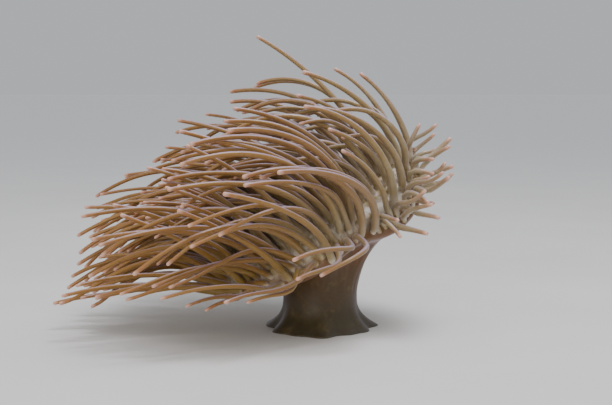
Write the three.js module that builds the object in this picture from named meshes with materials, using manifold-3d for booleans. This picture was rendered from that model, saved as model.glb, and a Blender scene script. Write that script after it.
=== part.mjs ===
// A magnificent sea anemone, whole and still, with its tentacles swept to one side by the current.
// Millimetres, +Z up. The origin is the centre of the foot's flat underside, -X is down-current,
// and -Y is the front.
import * as THREE from 'three';
import { mergeVertices } from 'three/addons/utils/BufferGeometryUtils.js';
import Module from 'manifold-3d';

const wasm = await Module();
wasm.setup();

// ---- driving dimensions: the body
const FOOT_R = 33;               // radius of the foot where it grips the ground
const WAIST_R = 22;              // radius of the column at its waist
const FOOT_TOP = 6;
const WAIST_Z = 20;
const DISC_R = 77;               // mean radius of the oral disc, measured along its skin
const DISC_CENTRE = new THREE.Vector3(-8, 0, 64);
const TILT_LEFT = THREE.MathUtils.degToRad(26);
const TILT_FRONT = THREE.MathUtils.degToRad(14);
const DISC_DEPTH = 0.86;         // the disc's front-to-back size as a share of its width
const BOWL = 9;                  // rise of the disc from its centre to its crest
const ROLL = 24;                 // fall of the margin beyond the crest
const CREASE_AT = -0.8;          // bearing of a crease in the margin, towards the front from the right
const CREASE_WIDTH = 0.38;
const CREASE_DEPTH = 0.16;
const LOW_AT = -2.55;            // bearing of the margin's lowest side, where it is drawn in
const LOW_WIDTH = 0.6;
const LOW_DEPTH = 0.1;
const MOUTH_RHO = 0.12;          // outer edge of the lips, as a share of the disc's radius
const LIP_RISE = 40;
const INNER_SECTORS = 8;
const MARGIN_SECTORS = 16;
const INNER_STEPS = [0.26, 0.4, 0.55];
const MARGIN_STEPS = [0.55, 0.67, 0.78, 0.89, 1];
const ROUND_SIDES = 32;
const GAP = 0.3;                 // between neighbouring pieces
const UNDER_GAP = 0.014;         // under the disc, as a share of the way up the crown

// ---- driving dimensions: the tentacles
const TENTACLE_LENGTH = 113;
const TIP_R = 1.08;
const BASE_R = 2.35;
const ROOT_FLARE = 0.8;
const ROOT_DEPTH = 1.8;          // how far a tentacle is set into the disc
const CLEARANCE = 2.2;           // kept between neighbouring tentacles
const PASSES = 100;              // rounds of pushing neighbours apart
const SAMPLES = 25;              // points along each tentacle's centre line
const EDGE_RING = 0.965;         // its tentacles stand twice as close on the up-current side
const RINGS = [[0.36, 8], [0.48, 8], [0.625, 16], [0.74, 16], [0.86, 32], [EDGE_RING, 32]];
const BARE_RINGS = [0.74, 0.86]; // rings that lose most of their tentacles round the crease
const BARE_SHARE = 0.8;
// Three tentacles stand out above the rest: where each is rooted, its length, how far it starts out
// up-current and how its end lies.
const LEADERS = [
  { rho: 0.84, phi: 0.08, length: 86, ahead: -0.3, lift: 42, droop: 0.5 },
  { rho: 0.96, phi: 0.24, length: 68, ahead: -0.35, lift: 56, droop: 0.45 },
  { rho: 0.8, phi: 0.5, length: 112, ahead: -0.25, lift: 45, droop: 0.32 },
];
const LEADER_ROOM = 7;           // no other root is nearer to a leader's than this
const RAISED_SHARE = 0.6;        // share of the low front tentacles that reach up across the others
const RAISED_LIFT = 27;          // degrees
const ARCH = 7;                  // how much higher the middle of a low tentacle is kept than its ends
const LONG_STEP = 5;             // every fifth tentacle has its outer length as a piece of its own
const TENTACLE_SIDES = 4;
const CORNER = 1.11;             // a corner's distance over the mean half-width of a four-sided section
const FRAME_STEPS = 240;
const SHORT = 60;                // a tentacle under this length takes fewer stations
const WHOLE_STATIONS = [0, 0.1, 0.24, 0.42, 0.66, 0.97];
const SHORT_STATIONS = [0, 0.25, 0.55, 0.97];
const INNER_STATIONS = [0, 0.1, 0.24, 0.38, 0.52];
const OUTER_STATIONS = [0.523, 0.67, 0.82, 0.97];

const FLESH = { column: '#8a5a2c', disc: '#d8c49a', lips: '#cbb489', tentacle: '#c98a55', tip: '#d59a86' };

const { degToRad, smoothstep, lerp } = THREE.MathUtils;
const vec = (x, y, z) => new THREE.Vector3(x, y, z);

// ---- the oral disc: a shallow tilted bowl with a wavy, rolled margin
const ACROSS = vec(Math.cos(TILT_LEFT), 0, Math.sin(TILT_LEFT));
const UPRIGHT = ACROSS.clone().cross(vec(0, Math.cos(TILT_FRONT), Math.sin(TILT_FRONT))).normalize();
const BACKWARD = UPRIGHT.clone().cross(ACROSS);

// 1 at the bearing middle, fading to 0 on both sides of it.
function about(phi, middle, width) {
  const away = ((phi - middle + 3 * Math.PI) % (2 * Math.PI)) - Math.PI;
  return Math.exp(-((away / width) ** 2));
}

const crease = (phi) => about(phi, CREASE_AT, CREASE_WIDTH);
const lowSide = (phi) => about(phi, LOW_AT, LOW_WIDTH);

function rim(phi) {
  const lobes = 0.05 * Math.sin(2 * phi + 0.4) + 0.05 * Math.sin(3 * phi + 2) + 0.02 * Math.sin(7 * phi);
  return DISC_R * (1 + lobes - CREASE_DEPTH * crease(phi) - LOW_DEPTH * lowSide(phi));
}

function discHeight(rho, phi) {
  const wave = 4 * Math.sin(3 * phi + 0.7) + 3 * Math.sin(5 * phi + 1.1);
  return BOWL * rho ** 2 - ROLL * rho ** 7 + wave * rho ** 3;
}

function disc(rho, phi) {
  const a = rim(phi) * (rho - 0.1 * rho ** 5);
  const point = DISC_CENTRE.clone().addScaledVector(ACROSS, a * Math.cos(phi));
  point.addScaledVector(BACKWARD, DISC_DEPTH * a * Math.sin(phi));
  return point.addScaledVector(UPRIGHT, discHeight(rho, phi));
}

function discNormal(rho, phi) {
  const e = 1e-3;
  const out = disc(rho + e, phi).sub(disc(rho - e, phi));
  const round = disc(rho, phi + e).sub(disc(rho, phi - e));
  return out.cross(round).normalize();
}

// ---- the crown: the flesh between the waist (w = 0) and the disc's skin (w = 1)
function crown(rho, phi, w) {
  const radial = ACROSS.clone().multiplyScalar(Math.cos(phi)).addScaledVector(BACKWARD, Math.sin(phi));
  const low = vec(WAIST_R * rho * Math.cos(phi), WAIST_R * rho * Math.sin(phi), WAIST_Z);
  const high = disc(rho, phi);
  const rising = low.clone().add(vec(0, 0, 14));
  const arriving = high.clone().addScaledVector(UPRIGHT, -15 * (1 - rho ** 4));
  arriving.addScaledVector(radial, -28 * rho ** 4);
  return new THREE.CubicBezierCurve3(low, rising, arriving, high).getPoint(w);
}

const discUnderside = (rho) => 0.84 + 0.11 * rho ** 2;

// ---- mesh helpers
function remap(geometry, place3) {
  const bare = geometry.clone();
  bare.deleteAttribute('normal');
  bare.deleteAttribute('uv');
  const p = bare.attributes.position;
  for (let i = 0; i < p.count; i++) {
    const q = place3(p.getX(i), p.getY(i), p.getZ(i));
    p.setXYZ(i, q.x, q.y, q.z);
  }
  return mergeVertices(bare, 1e-4);
}

// A profile of [radius, height] pairs turned about an axis, then placed by place3(radius, angle, height).
function turned(profile, sides, place3) {
  const lathe = new THREE.LatheGeometry(profile.map(([r, h]) => new THREE.Vector2(r, h)), sides);
  return remap(lathe, (x, y, z) => place3(Math.hypot(x, z), Math.atan2(-z, x), y));
}

function solid(geometry) {
  const p = geometry.attributes.position;
  const index = geometry.index.array;
  const triVerts = [];
  for (let i = 0; i < index.length; i += 3) {
    const [a, b, c] = index.slice(i, i + 3);
    if (a !== b && b !== c && c !== a) triVerts.push(a, b, c);
  }
  const made = new wasm.Mesh({
    numProp: 3,
    vertProperties: new Float32Array(p.array),
    triVerts: new Uint32Array(triVerts),
  });
  return new wasm.Manifold(made);
}

function toGeometry(manifold) {
  const mesh = manifold.getMesh();
  const geometry = new THREE.BufferGeometry();
  geometry.setAttribute('position', new THREE.BufferAttribute(mesh.vertProperties, 3));
  geometry.setIndex(new THREE.BufferAttribute(mesh.triVerts, 1));
  return geometry;
}

// ---- tentacles
const rnd = (seed) => {
  const x = Math.sin(seed * 12.9898 + 4.1414) * 43758.5453;
  return x - Math.floor(x);
};

const radiusAt = (t) => TIP_R + (BASE_R - TIP_R) * (1 - t) ** 1.5;

// The lowest that a centre line may sink: near the ground at the back, higher towards the front and
// in the middle of the tentacle.
const lowest = (y, t, n) => Math.max(4, 9 - 0.187 * y) + 9 * rnd(n) + 4 * ARCH * t * (1 - t);

function isMissing(ring, s, rho, phi, chance) {
  const between = ring === EDGE_RING && s % 2 === 1 && Math.cos(phi) < 0.6;
  const bare = BARE_RINGS.includes(ring) && chance < BARE_SHARE * crease(phi);
  const root = disc(rho, phi);
  const crowded = LEADERS.some((leader) => root.distanceTo(disc(leader.rho, leader.phi)) < LEADER_ROOM);
  return between || bare || crowded;
}

// Where each tentacle is rooted. long numbers the tentacles that are made in two lengths, from 1.
function roots() {
  const found = LEADERS.map((leader, n) => ({ ...leader, seed: 1000 + n, long: n + 1 }));
  let seed = 1;
  let long = found.length;
  for (const [ring, count] of RINGS) {
    const turn = (2 * Math.PI) / count;
    for (let s = 0; s < count; s++) {
      const phi = turn * (s + 0.5 + 0.16 * (rnd(seed + 0.11) - 0.5));
      const rho = ring + 0.02 * (rnd(seed + 0.23) - 0.5);
      seed += 1;
      if (isMissing(ring, s, rho, phi, rnd(seed + 0.5))) continue;
      const split = found.length % LONG_STEP === 2;
      if (split) long += 1;
      found.push({ rho, phi, seed, long: split ? long : 0 });
    }
  }
  return found;
}

// How the current carries a tentacle. q is its root's place up-current across the disc and p its place
// towards the back, each from -1 to 1, and every tentacle has its own variations r, from -1 to 1. It
// starts out square to the disc, but for flowAhead up-current, flowRise upward and, near the rolled
// margin, steadiness towards where the whole disc faces. isRaised picks those that reach up.
const flowLift = (q, r) => 7 + 38 * q + 8 * q * q + 12 * r;
const flowBearing = (p, r) => -27 * p + 8 * r;
const flowAhead = (q) => -0.25 + 0.35 * smoothstep(q, 0, 0.8);
const flowRise = (q) => 0.15 + 0.45 * smoothstep(-q, 0.2, 0.8);
const frontEdge = (p, rho) => 0.36 * Math.max(0, -p) * smoothstep(rho, 0.9, 0.96);
const leeward = (q, p, rho) => smoothstep(q + frontEdge(p, rho), 0.84, 0.93);

function steadiness(q, rho) {
  const lowEdge = 0.8 * smoothstep(rho, 0.9, 0.96) * smoothstep(-q, -0.3, 0.2);
  return 0.7 * smoothstep(rho, 0.6, 0.8) * (1 - lowEdge);
}

function flowDroop(q, r) {
  const upCurrent = 0.3 * smoothstep(q, 0.1, 0.6);
  return (0.58 + 0.42 * r + upCurrent) * (0.65 + 0.35 * smoothstep(q, -0.9, -0.2));
}

function isRaised(q, p, chance) {
  const front = smoothstep(-p, 0.2, 0.6) * smoothstep(-q, -0.25, 0.05);
  return front * (1 - smoothstep(chance, RAISED_SHARE - 0.15, RAISED_SHARE));
}

function naturalLength(q, rho, lee, r) {
  const inner = 0.84 + 0.16 * smoothstep(rho, 0.4, 0.75);
  const outer = 1 - 0.16 * smoothstep(-q, 0.3, 0.95) - 0.3 * smoothstep(q, 0.6, 0.84);
  return TENTACLE_LENGTH * (1 + 0.1 * r) * inner * outer * (1 - 0.58 * lee);
}

// The centre line of one tentacle: it leaves the disc square to it and bends into the current, or, on
// the up-current margin, curls outward and stays short.
function centreLine({ rho, phi, seed, ...own }) {
  const q = rho * Math.cos(phi);
  const p = rho * Math.sin(phi);
  const [r1, r2, r3, r4] = [0, 1, 2, 3].map((i) => 2 * rnd(seed + 0.37 * i) - 1);
  const lee = own.lift ? 0 : leeward(q, p, rho);
  const raised = isRaised(q, p, rnd(seed + 6.1));
  const lift = degToRad(own.lift ?? lerp(flowLift(q, r1), RAISED_LIFT + 5 * r1, raised));
  const bearing = degToRad(flowBearing(p, r2));
  const flow = vec(-Math.cos(lift) * Math.cos(bearing), -Math.cos(lift) * Math.sin(bearing), Math.sin(lift));
  const curl = vec(0.75 + 0.25 * r1, 0.7 * p + 0.25 * r2, 0.5 + 0.9 * p + 0.4 * r4).normalize();
  const bend = vec(own.ahead ?? flowAhead(q), 0, flowRise(q) + 0.7 * raised);
  bend.addScaledVector(UPRIGHT, steadiness(q, rho));
  const start = discNormal(rho, phi).addScaledVector(bend, 1 - lee).normalize();
  const end = flow.lerp(curl, lee).normalize();
  const droop = own.droop ?? flowDroop(q, r4) * (1 - lee) * (1 - 0.7 * raised);
  const step = (own.length ?? naturalLength(q, rho, lee, r3) * (1 - 0.2 * raised)) / (SAMPLES - 1);
  const points = [disc(rho, phi)];
  for (let k = 1; k < SAMPLES; k++) {
    const t = (k - 0.5) / (SAMPLES - 1);
    const along = start.clone().lerp(end, 1 - (1 - t) ** 1.9);
    along.z -= droop * t ** 1.7;
    points.push(points[k - 1].clone().addScaledVector(along.normalize(), step));
  }
  return points;
}

// Pushes neighbouring tentacles apart, and off the disc and the ground, keeping their roots and lengths.
function relax(lines, passes) {
  const steps = lines.map((line) => line[1].distanceTo(line[0]));
  const radii = Array.from({ length: SAMPLES }, (_, k) => radiusAt(k / (SAMPLES - 1)));
  const reach = 2 * BASE_R + CLEARANCE;
  for (let pass = 0; pass < passes; pass++) {
    const boxes = lines.map((line) => new THREE.Box3().setFromPoints(line).expandByScalar(reach / 2));
    const pushes = lines.map((line) => line.map(() => vec(0, 0, 0)));
    for (let a = 0; a < lines.length; a++) {
      for (let b = a + 1; b < lines.length; b++) {
        if (boxes[a].intersectsBox(boxes[b])) pushApart(lines[a], lines[b], pushes[a], pushes[b], radii);
      }
    }
    lines.forEach((line, n) => settle(line, n, pushes[n], steps[n], radii));
  }
  return lines;
}

// Adds to both tentacles' pushes wherever their points are too near each other.
function pushApart(first, second, pushFirst, pushSecond, radii) {
  for (let i = 1; i < SAMPLES; i++) {
    for (let j = 1; j < SAMPLES; j++) {
      const away = first[i].clone().sub(second[j]);
      const short = radii[i] + radii[j] + CLEARANCE - away.length();
      if (short > 0) {
        away.setLength(0.4 * short);
        pushFirst[i].add(away);
        pushSecond[j].sub(away);
      }
    }
  }
}

// Moves one line by its pushes, evened out along it, and gives its steps their length again.
function settle(line, n, push, step, radii) {
  for (let round = 0; round < 3; round++) {
    const before = push.map((v) => v.clone());
    for (let k = 1; k < SAMPLES; k++) {
      const next = before[Math.min(k + 1, SAMPLES - 1)];
      push[k].copy(before[k - 1]).add(next).addScaledVector(before[k], 2).multiplyScalar(0.25);
    }
    push[0].set(0, 0, 0);
  }
  for (let k = 1; k < SAMPLES; k++) {
    const t = k / (SAMPLES - 1);
    line[k].add(push[k]);
    liftOffDisc(line[k], radii[k], t);
    line[k].z = Math.max(line[k].z, lerp(line[k].z, lowest(line[k].y, t, n), 0.5));
  }
  for (let k = 1; k < SAMPLES; k++) {
    line[k].sub(line[k - 1]).setLength(step).add(line[k - 1]);
  }
}

function liftOffDisc(point, radius, t) {
  const local = point.clone().sub(DISC_CENTRE);
  const x = local.dot(ACROSS);
  const y = local.dot(BACKWARD) / DISC_DEPTH;
  const phi = Math.atan2(y, x);
  const rho = Math.hypot(x, y) / (0.96 * rim(phi));
  if (rho > 1) return;
  const wanted = discHeight(rho, phi) + radius + CLEARANCE * smoothstep(t, 0, 0.15);
  const lack = wanted - local.dot(UPRIGHT);
  if (lack > 0 && lack < 12) point.addScaledVector(UPRIGHT, 0.5 * lack);
}

// A round tapering length of tentacle. Stations are shares of its centre line; the first is set into
// the disc where the tentacle is rooted, and the last is a blunt tip where it reaches the end.
function tentacleLength(line, stations) {
  const curve = new THREE.CatmullRomCurve3(line);
  const total = curve.getLength();
  const frames = curve.computeFrenetFrames(FRAME_STEPS, false);
  const first = stations[0];
  const last = stations[stations.length - 1];
  const rings = stations.map((t) => [radiusAt(t) + ROOT_FLARE * Math.exp((-t * total) / 5), t]);
  const start = first === 0 ? -ROOT_DEPTH / total : first;
  const end = last > 0.9 ? 1 : last;
  if (first === 0) rings[0][1] = start;
  return turned([[0, start], ...rings, [0, end]], TENTACLE_SIDES, (r, angle, t) => {
    const share = Math.min(Math.max(t, 0), 1);
    const k = Math.round(share * FRAME_STEPS);
    const point = curve.getPointAt(share).addScaledVector(frames.tangents[k], (t - share) * total);
    point.addScaledVector(frames.normals[k], CORNER * r * Math.cos(angle));
    return point.addScaledVector(frames.binormals[k], CORNER * r * Math.sin(angle));
  });
}

// ---- pieces of the body
const body = new THREE.Group();

function add(name, manifold, color) {
  const material = new THREE.MeshStandardMaterial({ color, roughness: 0.45, metalness: 0 });
  const mesh = new THREE.Mesh(toGeometry(manifold), material);
  mesh.name = name;
  body.add(mesh);
}

// The foot's lobed edge grips the ground; the lobes fade out up the column.
function columnPoint(r, angle, z) {
  const fade = Math.max(0, 1 - z / WAIST_Z) ** 2;
  const broad = 0.05 * Math.sin(3 * angle + 0.6) + 0.05 * Math.sin(7 * angle);
  const scale = 1 + fade * (broad + 0.03 * Math.sin(12 * angle + 1));
  return vec(r * scale * Math.cos(angle), r * scale * Math.sin(angle), z);
}

const columnRadius = (z) => WAIST_R + (FOOT_R - WAIST_R) * Math.max(0, 1 - z / (WAIST_Z - 2)) ** 2.6;

function foot() {
  const edge = [0, 2.5, FOOT_TOP].map((z) => [columnRadius(z), z]);
  return turned([[0, 0], ...edge, [0, FOOT_TOP]], ROUND_SIDES, columnPoint);
}

function columnLower() {
  const base = FOOT_TOP + GAP;
  const top = WAIST_Z - GAP;
  const side = [0, 0.45, 1].map((s) => lerp(base, top, s)).map((z) => [columnRadius(z), z]);
  return turned([[0, base], ...side, [0, top]], ROUND_SIDES, columnPoint);
}

function columnUpper() {
  const under = (rho) => discUnderside(rho) - UNDER_GAP;
  const side = [0, 0.25, 0.5, 0.75].map((w) => [1, w]);
  const top = [...INNER_STEPS, ...MARGIN_STEPS.slice(1)].reverse().map((rho) => [rho, under(rho)]);
  return turned([[0, 0], ...side, ...top, [MOUTH_RHO, under(0)], [0, under(0)]], ROUND_SIDES, crown);
}

function oralDiscCentre() {
  const hole = MOUTH_RHO + 2 * GAP / DISC_R;
  const edge = INNER_STEPS[0] - GAP / DISC_R;
  const underside = [[hole, discUnderside(0)], [edge, discUnderside(edge)]];
  return turned([[hole, 1], ...underside, [edge, 1], [hole, 1]], ROUND_SIDES, crown);
}

// The lips: a ring round a slit, standing a little proud of the disc.
function mouth() {
  const under = discUnderside(0) + UNDER_GAP;
  const outline = [
    [0.045, 0.95],
    [0.06, under],
    [MOUTH_RHO, under],
    [MOUTH_RHO, 1],
    [0.1, 1.06],
    [0.07, 1.06],
    [0.045, 0.95],
  ];
  return turned(outline, 16, (rho, phi, w) => {
    const slit = rho < 0.09 ? 1 + 0.5 * Math.cos(2 * phi) : 1;
    return crown(rho * slit, phi, Math.min(w, 1)).addScaledVector(UPRIGHT, LIP_RISE * Math.max(0, w - 1));
  });
}

// A sector of the disc's flesh: x runs outward over the steps, y round the disc and z up to its skin.
function discSector(index, sectors, steps) {
  const turn = (2 * Math.PI) / sectors;
  const last = steps.length - 1;
  const block = new THREE.BoxGeometry(1, 1, 1, last, ROUND_SIDES / sectors, 1);
  return remap(block, (x, y, z) => {
    const step = Math.round((x + 0.5) * last);
    const trim = step === 0 ? GAP / DISC_R : 0;
    const rho = steps[step] + trim;
    const sideTrim = (GAP * -y) / (DISC_DEPTH * DISC_R * rho);
    return crown(rho, turn * (index + 0.5 + y) + sideTrim, z < 0 ? discUnderside(rho) : 1);
  });
}

// ---- assembly
add('foot', solid(foot()), FLESH.column);
add('column_lower', solid(columnLower()), FLESH.column);
add('column_upper', solid(columnUpper()), FLESH.column);
add('oral_disc_centre', solid(oralDiscCentre()), FLESH.disc);
add('mouth', solid(mouth()), FLESH.lips);

const found = roots();
const lines = relax(found.map(centreLine), PASSES);
const twoDigits = (n) => String(n).padStart(2, '0');

function rootedLength(line, long) {
  if (long) return solid(tentacleLength(line, INNER_STATIONS));
  const short = line[1].distanceTo(line[0]) * (SAMPLES - 1) < SHORT;
  return solid(tentacleLength(line, short ? SHORT_STATIONS : WHOLE_STATIONS));
}

// Each sector is one piece with the tentacles that grow from it.
function addSectors(label, sectors, steps) {
  const turn = (2 * Math.PI) / sectors;
  for (let index = 0; index < sectors; index++) {
    let flesh = solid(discSector(index, sectors, steps));
    found.forEach(({ rho, phi, long }, n) => {
      const here = rho > steps[0] && rho < steps[steps.length - 1] && Math.floor(phi / turn) === index;
      if (here) flesh = flesh.add(rootedLength(lines[n], long));
    });
    add(`${label}_${twoDigits(index + 1)}`, flesh, FLESH.tentacle);
  }
}

addSectors('inner_disc', INNER_SECTORS, INNER_STEPS);
addSectors('margin', MARGIN_SECTORS, MARGIN_STEPS);
found.forEach(({ long }, n) => {
  const outer = () => solid(tentacleLength(lines[n], OUTER_STATIONS));
  if (long) add(`tentacle_tip_${twoDigits(long)}`, outer(), FLESH.tip);
});

export default body;
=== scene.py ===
import math
import bpy
import numpy as np
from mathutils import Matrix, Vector
from mathutils.geometry import delaunay_2d_cdt


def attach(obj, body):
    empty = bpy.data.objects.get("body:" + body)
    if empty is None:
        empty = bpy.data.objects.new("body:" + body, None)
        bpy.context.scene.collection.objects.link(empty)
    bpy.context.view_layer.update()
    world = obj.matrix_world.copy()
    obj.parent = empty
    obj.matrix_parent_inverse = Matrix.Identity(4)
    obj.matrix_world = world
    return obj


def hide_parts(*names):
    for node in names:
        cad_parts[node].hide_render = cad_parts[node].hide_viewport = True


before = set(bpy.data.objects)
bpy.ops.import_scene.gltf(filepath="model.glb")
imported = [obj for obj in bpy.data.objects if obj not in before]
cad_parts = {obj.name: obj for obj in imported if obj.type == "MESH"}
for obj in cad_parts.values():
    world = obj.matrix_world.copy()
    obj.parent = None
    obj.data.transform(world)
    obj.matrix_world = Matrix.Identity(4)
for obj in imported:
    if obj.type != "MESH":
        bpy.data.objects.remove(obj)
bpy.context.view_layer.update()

# A magnificent sea anemone in one unbroken skin, from its gripping foot to the tips of its tentacles.
# Shapes are worked out in millimetres. The foot's flat underside is at z = 0, -X is down-current and
# -Y is the front.
MM = 0.001

# ---- the body. Waves are lists of size, number round the body and start.
FOOT_R = 33
FLARE_TOP = 18                   # where the column begins to widen into the foot
FLARE = 2.6
FOOT_WAVES = [(0.05, 3, 0.6), (0.05, 7, 0), (0.03, 12, 1)]
WAIST_R = 22
WAIST_Z = 20
FLANK_RISING = 14                # how straight up the flank leaves the waist
FLANK_ARRIVING = 28              # how level it comes to the rim
DISC_R = 77
DISC_CENTRE = np.array([-8.0, 0, 64])
TILT_LEFT = math.radians(26)
TILT_FRONT = math.radians(14)
DISC_DEPTH = 0.86                # from front to back, as a share of its width
BOWL = 9
ROLL = 24                        # how far the margin rolls down
DRAWN_IN = 0.1                   # and inward
RIM_LOBES = [(0.05, 2, 0.4), (0.05, 3, 2), (0.02, 7, 0)]
DISC_WAVES = [(4, 3, 0.7), (3, 5, 1.1)]
CREASE_AT = -0.8                 # bearings are from +X, towards the back
CREASE_WIDTH = 0.38
CREASE_DEPTH = 0.16
LOW_AT = -2.55                   # the low side, where the rim is nearer to the middle
LOW_WIDTH = 0.6
LOW_DEPTH = 0.1
CREST_AT = -0.75                 # the palest skin, beside the crease
CREST_WIDTH = 1.1
MOUTH_R = 0.085                  # of the lips, as a share of the disc
LIP_WIDTH = 0.024
LIP_HEIGHT = 2.4
MOUTH_DEPTH = 7

# ---- the tentacles
TENTACLE_LENGTH = 113
TIP_R = 1.08
BASE_R = 2.35
CLEARANCE = 2.2
PASSES = 100                     # of pushing neighbours apart
SAMPLES = 25                     # points along a centre line
EDGE_RING = 0.965
RINGS = [(0.36, 8), (0.48, 8), (0.625, 16), (0.74, 16), (0.86, 32), (EDGE_RING, 32)]
STRAY_ROUND = 0.16               # how far they stand from their place in a ring
STRAY_OUT = 0.02
BARE_RINGS = [0.74, 0.86]        # some are missing from these in the crease
BARE_SHARE = 0.8
LEADER_SEED = 1000
LEADERS = [                      # the long ones that stand out at the top
    {"rho": 0.84, "phi": 0.08, "length": 86, "lift": 42, "droop": 0.5, "ahead": -0.3},
    {"rho": 0.96, "phi": 0.24, "length": 68, "lift": 56, "droop": 0.45, "ahead": -0.35},
    {"rho": 0.8, "phi": 0.5, "length": 112, "lift": 45, "droop": 0.32, "ahead": -0.25},
]
LEADER_ROOM = 7                  # no other root is nearer to theirs
MIDDLE_LIFT = 7                  # degrees above level at which the current carries the middle ones
LIFT_SLOPE = 38                  # and how much steeper it is towards the right
LIFT_BEND = 8
LIFT_VARIETY = 12
FAN = -27                        # degrees that they fan out from front to back
FAN_VARIETY = 8
RAISED_SHARE = 0.6               # share of the low front ones that reach up across the others
RAISED_LIFT = 27
RAISED_VARIETY = 5
LENGTH_VARIETY = 0.1
SHORT_SIDE_CUT = 0.58            # how much shorter the ones that face the current are
ARCH = 7                         # how much higher the middle of a low tentacle is kept than its ends
GROUND_ROOM = 4                  # between the ground and the lowest of them
MIDDLE_ROOM = 9                  # this below the middle ones, and more below the front ones
ROOM_SLOPE = 0.187
EASING = 3                       # times that the elbows of a tentacle are eased

# ---- the finer tentacles between them
FINE_CANDIDATES = 1500
FINE_SEED = 3000
FINE_ROOM = 5.6                  # no two roots are nearer than this
EDGE_ROOM = 4.3                  # nor than this near the rim
FINE_CLEARANCE = 0.2
FINE_PASSES = 30
FINE_LENGTH = 0.84               # as a share of the main ones' length
SHORTEST = 18
FINE_R = 0.84
FINE_LIMIT = 0.4                 # how far they rise and lengthen beyond the main ones
FREEDOM = 1.25                   # how much more their directions vary
SHORT_SIDE_FREEDOM = 2.6
SWAY = 0.24
SHORT_SIDE_SWAY = 0.8
HOOK = 4                         # how far some of the short ones turn up at the end
THINNED = 0.6                    # share of them missing at the back of the crest, and on its pale skin
SHORT_SIDE_FROM = 0.1            # where the short ones of these begin
FINE_FLOOR = 2                   # how much higher than the others they keep off the ground
FRINGE_AT = -2.0                 # the rim's low front, where some of them hang over its side
FRINGE_WIDTH = 0.9
ROUNDS = 10                      # of easing the finer ones and pushing them apart again
ROUND_PASSES = 4
ROUND_CLEARANCE = 0.8
LAST_EASING = 2
FRINGE_EASING = 8                # the ones that hang are only eased
BARE_CENTRE = 0.3                # the disc is bare round the mouth
BARE_RIM = 0.978                 # and at the very rim
GOLDEN_ANGLE = math.pi * (3 - math.sqrt(5))

# ---- the skin
LATTICE = 1.8                    # between points of the disc's skin
RIM_POINTS = 192
SIDES = 10                       # round a tentacle
RING_STEP = 4.4                  # along a tentacle
BASE_STATIONS = [0.9, 2.1, 3.7, 5.8, 8.6]
TIP_STATIONS = [0.6, 1.1]        # angles round the tip
SWELL = 3.9                      # a tentacle's radius where it springs from the disc
SWELL_LENGTH = 3.2
FULLER = 0.18                    # how much thicker the high tentacles are
FLANK_ROWS = 31
COLUMN_ROWS = 12
FOOT_EDGE = [(0.8, 0), (0.25, 0.35), (0, 1.1)]   # heights of its rows, and how far they are drawn in
FOOT_LATTICE = 5
STRIPS_ACROSS = 10               # tentacles side by side on the unwrap
STRIP_ROWS = 40
STRIPS_TOP = 0.78                # of the unwrap's height
STRIP_LENGTH = 0.095
STRIP_MARGIN = 0.001
DISC_PATCH = 0.09                # the disc's radius on the unwrap, and its middle
DISC_PATCH_AT = [0.105, 0.895]
FOOT_PATCH = 0.0024              # the underside's scale on the unwrap, and its middle
FOOT_PATCH_AT = [0.87, 0.895]
SIDE_PATCH_LEFT = 0.22           # the flank and column on the unwrap
SIDE_PATCH_WIDTH = 0.52
SIDE_PATCH_TOP = 0.99
SIDE_PATCH_HEIGHT = 0.18
JOIN_EASING = 10                 # times that the joins of disc, tentacles and flank are eased
NO_TIP = 200                     # what the disc, flank and column say for their distance from a tip


def unit(v):
    return v / np.linalg.norm(v, axis=-1, keepdims=True)


def smoothstep(x, low, high):
    s = np.clip((x - low) / (high - low), 0, 1)
    return s * s * (3 - 2 * s)


def lerp(a, b, t):
    return a + (b - a) * t


def along(amount, axis):
    return np.multiply.outer(amount, axis)


def waves(angle, parts):
    return sum(size * np.sin(count * angle + start) for size, count, start in parts)


SHARES = np.arange(1, SAMPLES) / (SAMPLES - 1)
TURNS = 2 * math.pi * np.arange(SIDES) / SIDES
CIRCLE = np.stack([np.cos(TURNS), np.sin(TURNS)])
RIM_TURNS = 2 * math.pi * np.arange(RIM_POINTS) / RIM_POINTS
ACROSS = np.array([math.cos(TILT_LEFT), 0, math.sin(TILT_LEFT)])
UPRIGHT = unit(np.cross(ACROSS, [0, math.cos(TILT_FRONT), math.sin(TILT_FRONT)]))
BACKWARD = np.cross(UPRIGHT, ACROSS)


# ---- the oral disc: a shallow tilted bowl with a wavy, rolled margin
def about(phi, middle, width):
    """1 at the bearing middle, fading to 0 on both sides of it."""
    away = (phi - middle + 3 * math.pi) % (2 * math.pi) - math.pi
    return np.exp(-((away / width) ** 2))


def crease(phi):
    return about(phi, CREASE_AT, CREASE_WIDTH)


def low_side(phi):
    return about(phi, LOW_AT, LOW_WIDTH)


def crest_at(rho, phi):
    """Where the disc's skin is palest: on its crest beside the crease."""
    return about(phi, CREST_AT, CREST_WIDTH) * smoothstep(rho, 0.4, 0.7) * (1 - smoothstep(rho, 0.9, 0.97))


def rim(phi):
    """The disc's outline, as its radius at each bearing."""
    narrower = CREASE_DEPTH * crease(phi)
    return DISC_R * (1 + waves(phi, RIM_LOBES) - narrower - LOW_DEPTH * low_side(phi))


def disc_height(rho, phi):
    return BOWL * rho ** 2 - ROLL * rho ** 7 + waves(phi, DISC_WAVES) * rho ** 3


def disc(rho, phi):
    """The point of the disc at a share rho of the way to its rim, on the bearing phi."""
    a = rim(phi) * (rho - DRAWN_IN * rho ** 5)
    flat = along(a * np.cos(phi), ACROSS) + along(DISC_DEPTH * a * np.sin(phi), BACKWARD)
    return DISC_CENTRE + flat + along(disc_height(rho, phi), UPRIGHT)


def disc_normal(rho, phi):
    e = 1e-3
    out = disc(rho + e, phi) - disc(rho - e, phi)
    around = disc(rho, phi + e) - disc(rho, phi - e)
    return unit(np.cross(out, around))


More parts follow.
